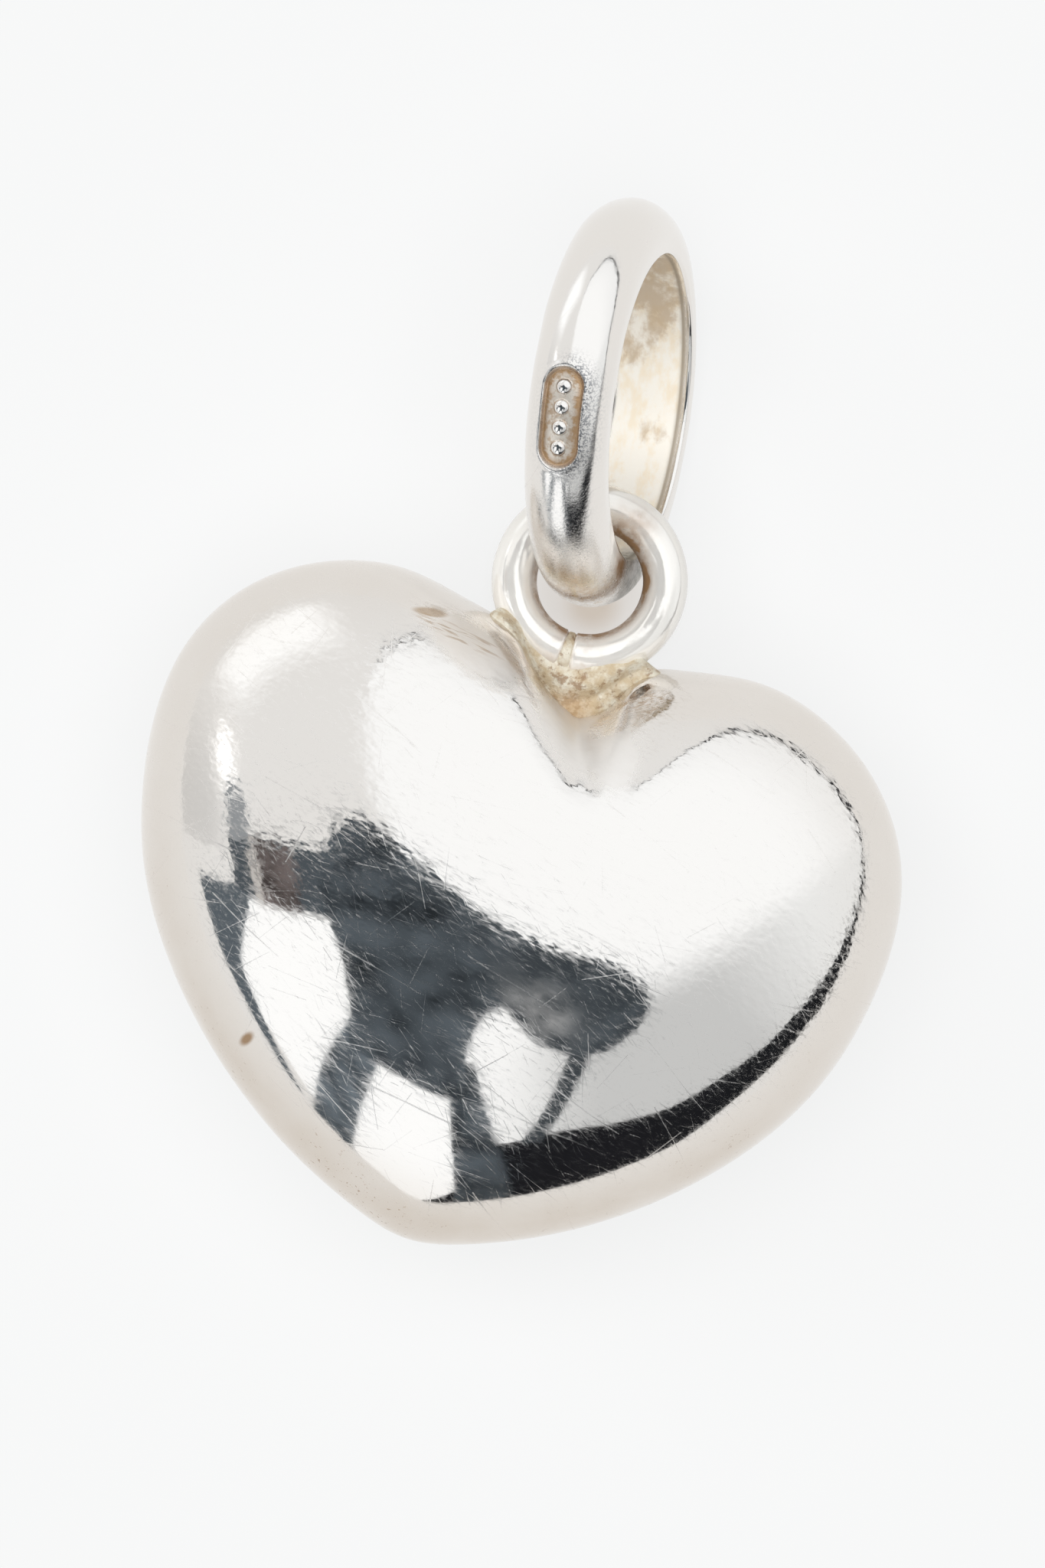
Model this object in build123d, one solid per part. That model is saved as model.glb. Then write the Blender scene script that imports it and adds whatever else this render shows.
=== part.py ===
from build123d import *
from math import cos, degrees, hypot, pi, radians, sin, tan
import os

# Puffed silver heart charm, lying on a surface, millimetres.
# +Y runs along the heart from its tip to its bail, +X to its right and +Z up from the surface.

# The heart: two domed halves soldered together along the rim, hollow inside
heart_width = 16.56
heart_length = 13.66
heart_thickness = 8.2
cleft_depth = 1.96
wall = 0.5
skew_angle = 2.06

# Where the two domes are highest, measured up from the tip
crown_height = 7.0

# Level lines near the crown are ellipses: their half axes as a share of half the width
# and as a share of the way from the crown to the top of the lobes
crown_across_share = 0.966
crown_along_share = 0.946

# How quickly the level lines take on the outline's shape towards the rim
crown_power = 2.3

# The outline of the right half, from the cleft over the lobe to the tip.
# Columns: across as a share of half the width, up as a share of the length,
# down as a share of the cleft's depth
outline_rows = [
    (0.000, 1.000, 1.00),
    (0.070, 1.000, 0.80),
    (0.165, 1.000, 0.31),
    (0.290, 1.000, 0.12),
    (0.490, 1.000, 0.00),
    (0.660, 0.978, 0.00),
    (0.800, 0.930, 0.00),
    (0.930, 0.840, 0.00),
    (0.985, 0.755, 0.00),
    (1.000, 0.672, 0.00),
    (0.980, 0.550, 0.00),
    (0.930, 0.445, 0.00),
    (0.833, 0.336, 0.00),
    (0.705, 0.240, 0.00),
    (0.528, 0.144, 0.00),
    (0.343, 0.072, 0.00),
    (0.167, 0.024, 0.00),
    (0.060, 0.004, 0.00),
    (0.000, 0.000, 0.00),
]

# Directions in which the outline leaves the cleft and reaches the tip
cleft_direction = (0.5, 0.866)
tip_direction = (-1.0, 0.0)

# Points worked out on each quarter of a dome, from crown to rim and along the outline
rings = 12
spokes = 30
fit_tolerance = 0.01

# The bail: a closed ring, round outside and flat inside, leaning in the loop
bail_diameter = 8.82
bail_width = 1.72
bail_thickness = 1.12
bail_side = 0.30
bail_edge_radius = 0.12
bail_lean = 14.3
bail_turn = 8.1

# The loop: a closed jump ring that the bail passes through, soldered in the cleft
loop_wire = 0.97
loop_clearance = 0.085
loop_shift = -0.10
solder_height = 0.81
solder_width = 3.0
solder_depth = 0.85
solder_overlap = 0.3

# The punched recess on the bail's upper limb, with a row of round pellets in it
punch_length = 2.20
punch_width = 0.85
punch_depth = 0.14
pellet_count = 4
pellet_radius = 0.17
pellet_height = 0.10
punch_turn = 8.5

# File marks in the upper dome beside the solder.
# Columns: across as a share of half the width, down from the lobes as a share of the cleft's depth,
# length and width as shares of half the width, depth as a share of the wall, direction in degrees
file_marks = [
    (-0.230, 0.54, 0.386, 0.097, 0.34, -17.0),
    (0.175, 0.74, 0.290, 0.109, 0.40, 37.0),
]

# Worked out from the sizes above
half_width = heart_width / 2
half_thickness = heart_thickness / 2
cleft_height = heart_length - cleft_depth
crown_across = crown_across_share * half_width
crown_along = crown_along_share * (heart_length - crown_height)
loop_hole_radius = hypot(bail_width / cos(radians(bail_lean)), bail_thickness) / 2 + loop_clearance
loop_mean_radius = loop_hole_radius + loop_wire / 2
loop_height = cleft_height + solder_height + loop_wire + loop_hole_radius
bail_radius = bail_diameter / 2
bail_inner_radius = bail_radius - bail_thickness
bail_middle_radius = bail_radius - bail_thickness / 2


def outline():
    """The right half of the heart's outline: a smooth curve through the table's rows."""
    points = [
        (across * half_width, up * heart_length - down * cleft_depth)
        for across, up, down in outline_rows
    ]
    return Spline(*points, tangents=[cleft_direction, tip_direction], tangent_scalars=[1, 1])


def dome_quarter(curve, inset):
    """One quarter of the domed surface, set in by inset.

    Each point lies on a line from the crown to the outline. Its distance along that line is the
    sine of its angle round the rim times the line's length, and its height is the cosine of the
    same angle times half the thickness. The line's length goes from that of an ellipse at the
    crown to the outline's own at the rim.
    """
    rows = []
    for ring in range(rings + 1):
        angle = pi / 2 * ring / rings
        share = sin(angle)
        row = []
        for spoke in range(spokes + 1):
            rim = curve @ (spoke / spokes)
            across = rim.X
            along = rim.Y - crown_height
            reach = hypot(across, along)
            ellipse = 1 / hypot(across / reach / crown_across, along / reach / crown_along)
            length = ellipse + (reach - ellipse) * share**crown_power - inset
            row.append(
                (
                    share * length * across / reach,
                    crown_height + share * length * along / reach,
                    (half_thickness - inset) * cos(angle),
                )
            )
        rows.append(row)
    return Face.make_surface_from_array_of_points(rows, tol=fit_tolerance, min_deg=3, max_deg=5)


def pillow(inset):
    """A closed heart from one quarter surface and its three mirror images."""
    quarter = dome_quarter(outline(), inset)
    upper = [quarter, quarter.mirror(Plane.YZ)]
    lower = [face.mirror(Plane.XY) for face in upper]
    return Solid(Shell(upper + lower))


def skewed(solid):
    """The right lobe sits a little lower than the left one."""
    drop = -tan(radians(skew_angle))
    return solid.transform_geometry(Matrix([[1, 0, 0, 0], [drop, 1, 0, 0], [0, 0, 1, 0]]))


def loop():
    """The jump ring, flat in the plane of the heart's rim."""
    section = Pos(loop_mean_radius, 0) * Rot(0, 0, 180) * Circle(loop_wire / 2)
    return Pos(loop_shift, loop_height, 0) * Rot(0, 0, 90) * revolve(Plane.XZ * section, Axis.Z)


def solder():
    """The web of solder that fills the cleft from its bottom up to the middle of the loop's wire."""
    top = cleft_height + solder_height + loop_wire / 2
    corners = [
        (loop_shift - solder_width / 2, top),
        (-solder_width / 4, cleft_height),
        (0, cleft_height - solder_overlap),
        (solder_width / 4, cleft_height),
        (loop_shift + solder_width / 2, top),
    ]
    return extrude(make_face(Polyline(*corners, close=True)), solder_depth / 2, both=True)


def file_mark(dome, across, down, length, width, depth, direction):
    """A shallow scoop across the dome's surface, its floor sunk along the surface's normal."""
    place = Axis((across * half_width, heart_length - down * cleft_depth, 0), (0, 0, 1))
    point, normal = max(dome.find_intersection_points(place), key=lambda hit: hit[0].Z)
    course = Vector(1, 0, 0).rotate(Axis.Z, direction)
    radius = width * half_width / 2
    face = Plane(origin=point + normal * (radius - depth * wall), x_dir=course, z_dir=normal)
    return face * scale(Sphere(1), by=(length * half_width / 2, radius, radius))


def heart():
    """The two halves with their hollow and file marks, the loop and its solder, in one solid."""
    plain = skewed(pillow(0))
    dome = plain
    for mark in file_marks:
        dome = dome - file_mark(plain.shell(), *mark)
    return dome + loop() + solder() - skewed(pillow(wall))


def bail_section(inset):
    """The bail's section: X outwards from the ring's axis, Y along it, its crest set in by inset."""
    half = bail_width / 2
    shoulder = bail_inner_radius + bail_side
    crest = bail_radius - inset
    with BuildSketch() as section:
        with BuildLine():
            Line((shoulder, -half), (bail_inner_radius, -half))
            Line((bail_inner_radius, -half), (bail_inner_radius, half))
            Line((bail_inner_radius, half), (shoulder, half))
            ThreePointArc((shoulder, half), (crest, 0), (shoulder, -half))
        make_face()
        inner_corners = section.vertices().group_by(Axis.X)[0]
        fillet(inner_corners, bail_edge_radius)
    return section.sketch


def bail_ring(inset):
    """The closed ring about the Z axis, its crest set in by inset."""
    return revolve(Plane.XZ * bail_section(inset), Axis.Z)


def punch():
    """The recess on the ring's outside, on the +X side, as a cutter whose floor follows the crest."""
    slot = Plane.YZ.offset(bail_inner_radius) * SlotOverall(punch_length, punch_width)
    return extrude(slot, 2 * bail_thickness) - bail_ring(punch_depth)


def pellets():
    """A row of round pellets that stand up from the recess's floor, their lower halves sunk in it."""
    sunk = bail_radius - punch_depth + pellet_height - pellet_radius
    pitch = (punch_length - punch_width) / (pellet_count - 1)
    places = [(number - (pellet_count - 1) / 2) * pitch for number in range(pellet_count)]
    ball = Pos(sunk, 0, 0) * Rot(0, 0, 180) * Sphere(pellet_radius)
    return [Rot(0, 0, degrees(place / bail_radius)) * ball for place in places]


def bail():
    """The ring stood on edge with its punch upwards, leant to the left and turned about Z.

    Its lower limb, seen from above, goes down through the middle of the loop.
    """
    ring = bail_ring(0) - punch() + pellets()
    ring = Rot(0, 0, bail_turn) * Rot(0, -90 - bail_lean, 0) * Rot(0, 0, -punch_turn) * ring
    turn = radians(bail_turn)
    drop = ring.bounding_box().min.Z + half_thickness
    shift = drop * tan(radians(bail_lean))
    across = loop_shift - bail_middle_radius * sin(turn) + shift * cos(turn)
    along = loop_height + bail_middle_radius * cos(turn) + shift * sin(turn)
    return Pos(across, along, -drop) * ring


os.makedirs("parts", exist_ok=True)
pieces = {"heart": heart(), "bail": bail()}

# The origin is the bottom centre of the whole
box = Compound(list(pieces.values())).bounding_box()
home = Pos(-box.center().X, -box.center().Y, -box.min.Z)
for name, piece in pieces.items():
    export_step(home * piece, f"parts/{name}.step")
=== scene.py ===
import math

import bpy
import numpy as np
from mathutils import Matrix, Vector


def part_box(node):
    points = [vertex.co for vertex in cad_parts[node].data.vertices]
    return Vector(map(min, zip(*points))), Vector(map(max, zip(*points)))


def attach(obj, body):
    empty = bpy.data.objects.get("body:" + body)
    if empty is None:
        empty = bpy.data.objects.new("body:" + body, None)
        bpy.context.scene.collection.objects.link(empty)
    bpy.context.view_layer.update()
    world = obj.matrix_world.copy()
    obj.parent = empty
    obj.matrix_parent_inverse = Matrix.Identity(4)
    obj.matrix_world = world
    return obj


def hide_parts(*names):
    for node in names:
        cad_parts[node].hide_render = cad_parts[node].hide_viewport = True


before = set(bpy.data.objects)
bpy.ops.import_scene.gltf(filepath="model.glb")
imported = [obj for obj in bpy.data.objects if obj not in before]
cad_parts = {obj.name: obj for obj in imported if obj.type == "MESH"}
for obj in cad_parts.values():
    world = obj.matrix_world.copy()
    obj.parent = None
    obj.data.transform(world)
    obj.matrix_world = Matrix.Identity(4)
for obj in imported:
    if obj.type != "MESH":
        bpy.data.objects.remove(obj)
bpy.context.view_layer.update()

# Shapes are worked out in millimetres in the heart's own frame, whose origin is its tip: +Y up to
# the bail, +X to the right, +Z up from the plane of the rim. add_piece moves them home in metres
MM = 0.001
heart_low, heart_high = (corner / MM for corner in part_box("heart"))
home = np.array((0.0, heart_low.y, (heart_low.z + heart_high.z) / 2))

# The heart, with the sizes of part.py
half_width = 8.28
heart_length = 13.66
half_thickness = 4.1
cleft_depth = 1.96
skew_angle = 2.06
crown_height = 7.0
crown_across = 0.966 * half_width
crown_along = 0.946 * (heart_length - crown_height)
crown_power = 2.3
outline_rows = [
    (0.000, 1.000, 1.00), (0.070, 1.000, 0.80), (0.165, 1.000, 0.31), (0.290, 1.000, 0.12),
    (0.490, 1.000, 0.00), (0.660, 0.978, 0.00), (0.800, 0.930, 0.00), (0.930, 0.840, 0.00),
    (0.985, 0.755, 0.00), (1.000, 0.672, 0.00), (0.980, 0.550, 0.00), (0.930, 0.445, 0.00),
    (0.833, 0.336, 0.00), (0.705, 0.240, 0.00), (0.528, 0.144, 0.00), (0.343, 0.072, 0.00),
    (0.167, 0.024, 0.00), (0.060, 0.004, 0.00), (0.000, 0.000, 0.00),
]
cleft_direction = (0.5, 0.866)
tip_direction = (-1.0, 0.0)

# The loop and its joint
loop_wire = 0.97
loop_hole_radius = 1.134
loop_mean_radius = loop_hole_radius + loop_wire / 2
loop_centre = (-0.10, 14.614, 0.0)
joint_direction = -92.4
joint_gap = 0.20

# The bail, with the sizes of part.py
bail_radius = 4.41
bail_width = 1.72
bail_thickness = 1.12
bail_side = 0.30
bail_spread = 0.02
bail_lean = 14.3
bail_turn = 8.1
punch_turn = 8.5
punch_length = 2.20
punch_width = 0.85
punch_depth = 0.14
pellet_count = 4
pellet_radius = 0.17
pellet_height = 0.10

# Directions round the charm are given in the photograph's own turn, as degrees to the right and
# degrees up from straight overhead
camera_turn = 15.9

# Drawn out this much along Z, a pattern is the same at every height
flattening = 1e6


def smooth_curve(rows, start, end, count):
    """Points of a cubic spline through the rows, evenly spaced by length.

    The parameter is the length of the chords between rows. The slopes at the inner rows solve the
    linear equations that make the curvature continuous, and the slopes at the ends are given.
    """
    rows = np.array(rows, float)
    steps = np.hypot(*np.diff(rows, axis=0).T)
    knots = np.append(0, np.cumsum(steps))
    rises = np.diff(rows, axis=0) / steps[:, None]
    before, after = steps[:-1, None], steps[1:, None]
    matrix = np.diag(np.concatenate([[1], 2 * (steps[:-1] + steps[1:]), [1]]))
    matrix += np.diag(np.append(steps[1:], 0), -1) + np.diag(np.append(0, steps[:-1]), 1)
    wanted = 3 * (after * rises[:-1] + before * rises[1:])
    slopes = np.linalg.solve(matrix, np.vstack([start, wanted, end]))
    place = np.linspace(0, knots[-1], 40 * count)
    piece = np.clip(np.searchsorted(knots, place) - 1, 0, len(steps) - 1)
    step = steps[piece, None]
    part = (place - knots[piece])[:, None] / step
    points = (
        (2 * part**3 - 3 * part**2 + 1) * rows[piece]
        + (part**3 - 2 * part**2 + part) * step * slopes[piece]
        + (3 * part**2 - 2 * part**3) * rows[piece + 1]
        + (part**3 - part**2) * step * slopes[piece + 1]
    )
    return resampled(points, np.linspace(0, 1, count))


def resampled(points, shares):
    """Points at given shares of a line's length."""
    lengths = np.append(0, np.cumsum(np.linalg.norm(np.diff(points, axis=0), axis=1)))
    wanted = shares * lengths[-1]
    return np.stack([np.interp(wanted, lengths, column) for column in points.T], -1)


def uneven(count, crowding, middle, spread):
    """Numbers from 0 up to 1 whose density is 1 plus crowding times a bell about the middle."""
    fine = np.linspace(0, 1, 4000)
    density = 1 + crowding * bell(fine - middle, spread)
    total = np.append(0, np.cumsum((density[1:] + density[:-1]) / 2))
    return np.interp(np.linspace(0, total[-1], count, endpoint=False), total, fine)


def bell(offset, spread):
    """A smooth bump that is 1 where offset is 0 and fades over spread."""
    return np.exp(-((offset / spread) ** 2))


def step_up(value, low, high):
    """Goes smoothly from 0 at low to 1 at high."""
    part = np.clip((value - low) / (high - low), 0, 1)
    return part * part * (3 - 2 * part)


def averaged(points, window):
    """A closed line of points, each averaged over its neighbours with the window as weights."""
    reach = len(window) // 2
    padded = np.concatenate([points[-reach:], points, points[:reach]])
    weights = window / window.sum()
    return np.stack([np.convolve(column, weights, "valid") for column in padded.T], -1)


def grid_faces(rows, columns, round_rows=False):
    """Four-cornered faces between neighbouring points of a grid whose columns close on themselves."""
    numbers = np.arange(rows * columns).reshape(rows, columns)
    numbers = np.hstack([numbers, numbers[:, :1]])
    if round_rows:
        numbers = np.vstack([numbers, numbers[:1]])
    corners = [numbers[:-1, :-1], numbers[1:, :-1], numbers[1:, 1:], numbers[:-1, 1:]]
    return np.stack(corners, -1).reshape(-1, 4)


def cap_faces(centre, ring, outwards):
    """Triangles from one centre point to a closed ring of points."""
    following = np.roll(ring, -1)
    order = [ring, following] if outwards else [following, ring]
    return np.stack([np.full_like(ring, centre), *order], -1)


def capped(grid, ends=None):
    """The points and faces of a grid that closes along its columns, with a cap at either end.

    Each cap's centre is the middle of the end's ring, unless ends gives both.
    """
    rows, columns = grid.shape[:2]
    start, end = ends or (grid[0].mean(0), grid[-1].mean(0))
    count = rows * columns
    ring = np.arange(columns)
    faces = [
        grid_faces(rows, columns),
        cap_faces(count, ring, True),
        cap_faces(count + 1, ring + count - columns, False),
    ]
    return np.vstack([grid.reshape(-1, 3), start, end]), faces


def grid_normals(grid, round_rows=False):
    """Unit normals of a grid that closes along its columns, from the differences of neighbours."""
    along = np.gradient(grid, axis=0)
    if round_rows:
        along = np.roll(grid, -1, 0) - np.roll(grid, 1, 0)
    across = np.roll(grid, -1, 1) - np.roll(grid, 1, 1)
    normal = np.cross(along, across)
    return normal / np.maximum(np.linalg.norm(normal, axis=-1, keepdims=True), 1e-12)


def waves(points, height, longest, shortest, count, seed):
    """A gentle unevenness: plane waves in random directions, longer ones higher."""
    random = np.random.default_rng(seed)
    directions = random.normal(size=(count, 3))
    directions /= np.linalg.norm(directions, axis=1)[:, None]
    lengths = np.geomspace(longest, shortest, count)
    phases = random.uniform(0, math.tau, count)
    angles = points @ (directions * (math.tau / lengths)[:, None]).T + phases
    return height * (np.sin(angles) @ (lengths / longest) / math.sqrt(count / 2))


def new_object(name, data):
    """An object with the given data, put in the scene."""
    thing = bpy.data.objects.new(name, data)
    bpy.context.scene.collection.objects.link(thing)
    return thing


def add_piece(name, points, faces, material, slot, node):
    """A smooth mesh in the place of a CAD node, moving with the charm."""
    mesh = bpy.data.meshes.new(name)
    rows = [row for block in faces for row in block.tolist()]
    mesh.from_pydata(((points + home) * MM).tolist(), [], rows)
    mesh.validate()
    mesh.shade_smooth()
    mesh.materials.append(material)
    piece = new_object(name, mesh)
    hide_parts(node)
    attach(piece, "root")
    return piece


# Materials


class Field:
    """A number, colour or vector that a material works out over a surface.

    Arithmetic on fields and plain numbers adds the Math nodes for it.
    """

    def __init__(self, tree, socket=None):
        self.tree = tree
        self.socket = socket

    def node(self, kind, settings=None, sockets=None, output=0):
        """Adds a node with its settings and sockets, and gives the output that is asked for."""
        new = self.tree.nodes.new(kind)
        for name, value in (settings or {}).items():
            setattr(new, name, value)
        for key, value in (sockets or {}).items():
            if isinstance(value, Field):
                self.tree.links.new(value.socket, new.inputs[key])
            else:
                new.inputs[key].default_value = value
        return Field(self.tree, new.outputs[output]) if new.outputs else None

    def math(self, operation, first, second=0.0):
        return self.node("ShaderNodeMath", {"operation": operation}, {0: first, 1: second})

    def __add__(self, other):
        return self.math("ADD", self, other)

    def __radd__(self, other):
        return self.math("ADD", other, self)

    def __sub__(self, other):
        return self.math("SUBTRACT", self, other)

    def __rsub__(self, other):
        return self.math("SUBTRACT", other, self)

    def __mul__(self, other):
        return self.math("MULTIPLY", self, other)

    def __truediv__(self, other):
        return self.math("DIVIDE", self, other)

    def __abs__(self):
        return self.math("ABSOLUTE", self)

    def with_vector(self, operation, other, output=0):
        """Vector arithmetic with another vector. Output 1 is a number."""
        sockets = {0: self, 1: other}
        return self.node("ShaderNodeVectorMath", {"operation": operation}, sockets, output)

    def length(self):
        """The length of a vector."""
        return self.node("ShaderNodeVectorMath", {"operation": "LENGTH"}, {0: self}, 1)

    def limited(self):
        """The number kept between 0 and 1."""
        return self.node("ShaderNodeClamp", None, {0: self, 1: 0.0, 2: 1.0})

    def between(self, low, high, start=0.0, end=1.0):
        """Goes smoothly from start, where the number is low, to end, where it is high."""
        settings = {"interpolation_type": "SMOOTHSTEP"}
        return self.node("ShaderNodeMapRange", settings, {0: self, 1: low, 2: high, 3: start, 4: end})

    def mixed(self, first, second):
        """One colour where the number is 0 and another where it is 1."""
        settings = {"data_type": "RGBA", "clamp_factor": True}
        colours = [
            colour if isinstance(colour, Field) else (*colour, 1) for colour in (first, second)
        ]
        return self.node("ShaderNodeMix", settings, {0: self, 6: colours[0], 7: colours[1]}, 2)


class Surface(Field):
    """The place on a piece in the heart's own frame, and the patterns drawn from it."""

    def __init__(self, tree):
        here = Field(tree).node("ShaderNodeTexCoord", output="Object")
        large = {"Vector": here, "Scale": (1 / MM,) * 3, "Location": tuple(-home)}
        super().__init__(tree, Field(tree).node("ShaderNodeMapping", None, large).socket)

    def turned(self, place, turn, size):
        """The place in a pattern that is moved, turned about Z by degrees and drawn out."""
        rotation = (0, 0, math.radians(turn))
        sockets = {"Vector": self, "Location": place, "Rotation": rotation, "Scale": size}
        return self.node("ShaderNodeMapping", {"vector_type": "TEXTURE"}, sockets)

    def noise(self, size, detail=2.0, roughness=0.5, place=(0, 0, 0), turn=0.0, drawn=(1, 1, 1)):
        """A cloudy number about 0.5, with blotches of about the given size in millimetres."""
        sockets = {
            "Vector": self.turned(place, turn, drawn),
            "Scale": 1 / size,
            "Detail": detail,
            "Roughness": roughness,
        }
        return self.node("ShaderNodeTexNoise", None, sockets)

    def along(self, axis):
        """The place along X, Y or Z, which are numbered 0, 1 and 2."""
        return self.node("ShaderNodeSeparateXYZ", None, {0: self}, axis)

    def mask(self, name):
        """A number that the piece's points carry."""
        return self.node("ShaderNodeAttribute", {"attribute_name": name}, None, 2)

    def distance(self, place, flat=False):
        """Millimetres from a place, or from an upright line through it."""
        return self.turned(place, 0, (1, 1, flattening if flat else 1)).length()

    def patch(self, place, turn, size, soft):
        """1 inside an ellipse with the given half axes, fading to 0 outside it."""
        return self.turned(place, turn, size).length().between(1 - soft, 1 + soft, 1.0, 0.0)

    def scratches(self, cell, width, place, course, spread):
        """Thin scratches, one across each cell of a Voronoi pattern seen from above.

        A cell's own colour gives the direction, within spread degrees about the course, and the
        strength. The scratch is where the distance from a line through the cell's centre is under
        half its width.
        """
        wobble = (self.noise(2.5, 0.0, place=place) - 0.5) * 0.12
        shift = self.node("ShaderNodeCombineXYZ", None, {0: wobble, 1: wobble})
        flat = self.turned(place, 0, (cell, cell, flattening)).with_vector("ADD", shift)
        sockets = {"Vector": flat, "Scale": 1.0, "Randomness": 1.0}
        colour = self.node("ShaderNodeTexVoronoi", {"voronoi_dimensions": "2D"}, sockets, "Color")
        centre = Field(self.tree, colour.socket.node.outputs["Position"])
        red = self.node("ShaderNodeSeparateColor", None, {0: colour}, 0)
        green, blue = (Field(self.tree, red.socket.node.outputs[number]) for number in (1, 2))
        turn = (red - 0.5) * math.radians(spread) - math.radians(course)
        across = {0: self.math("SINE", turn), 1: self.math("COSINE", turn)}
        across = self.node("ShaderNodeCombineXYZ", None, across)
        off = flat.with_vector("SUBTRACT", centre).with_vector("DOT_PRODUCT", across, 1)
        limit = (green + 0.35) * (width / cell)
        return (abs(off) / limit).between(0.35, 1.0, 1.0, 0.0) * blue


def blank_material(name):
    """A material without any nodes."""
    material = bpy.data.materials.new(name)
    material.use_nodes = True
    material.node_tree.nodes.clear()
    return material


def new_material(name, build):
    """A material whose Principled shader gets its sockets from build, a function of the surface."""
    material = blank_material(name)
    here = Surface(material.node_tree)
    shader = here.node("ShaderNodeBsdfPrincipled", None, build(here))
    here.node("ShaderNodeOutputMaterial", None, {"Surface": shader})
    return material


def bumped(here, height, size):
    """The normal of a surface whose height field is size millimetres high."""
    sockets = {"Strength": 1.0, "Distance": size * MM, "Height": height}
    return here.node("ShaderNodeBump", None, sockets, "Normal")


# Colours of the metal, linear
silver = (0.83, 0.795, 0.755)
# The flanks' colour is tarnish together with painted shade of the table that they reflect
flank_tarnish_and_shade_silver = (0.69, 0.625, 0.555)
worn_silver = (0.93, 0.905, 0.86)
matt_silver = (0.90, 0.87, 0.83)
brushed_silver = (0.97, 0.93, 0.88)
filed_brown = (0.48, 0.35, 0.23)
tarnish = (0.33, 0.20, 0.10)
dirt_brown = (0.32, 0.19, 0.10)
solder_tan = (0.60, 0.485, 0.325)
pale_solder = (0.80, 0.755, 0.64)
orange_solder = (0.64, 0.44, 0.25)
inside_cream = (1.0, 0.96, 0.88)
inside_stain = (0.96, 0.86, 0.70)
cloud_brown = (0.54, 0.39, 0.23)
far_edge_brown = (0.34, 0.28, 0.21)
bend_brown = (0.60, 0.46, 0.31)
olive_shade_and_dirt = (0.15, 0.14, 0.105)
recess_floor = (0.74, 0.68, 0.60)
recess_brown = (0.45, 0.29, 0.16)
struck_grey = (0.13, 0.14, 0.16)

# Scratches on the heart's domes. Columns: cell and width in millimetres, place of the pattern,
# course and spread in degrees, strength
heart_scratches = [
    (1.50, 0.022, (0.3, 0.1, 0), -20, 50, 1.0),
    (0.80, 0.014, (5.3, 2.1, 0), -20, 360, 1.0),
    (0.42, 0.012, (2.7, 6.4, 0), -35, 70, 0.6),
    (0.24, 0.010, (3.3, 9.1, 0), -25, 60, 0.8),
    (2.80, 0.030, (9.1, 7.4, 0), -10, 120, 0.7),
]


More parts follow.
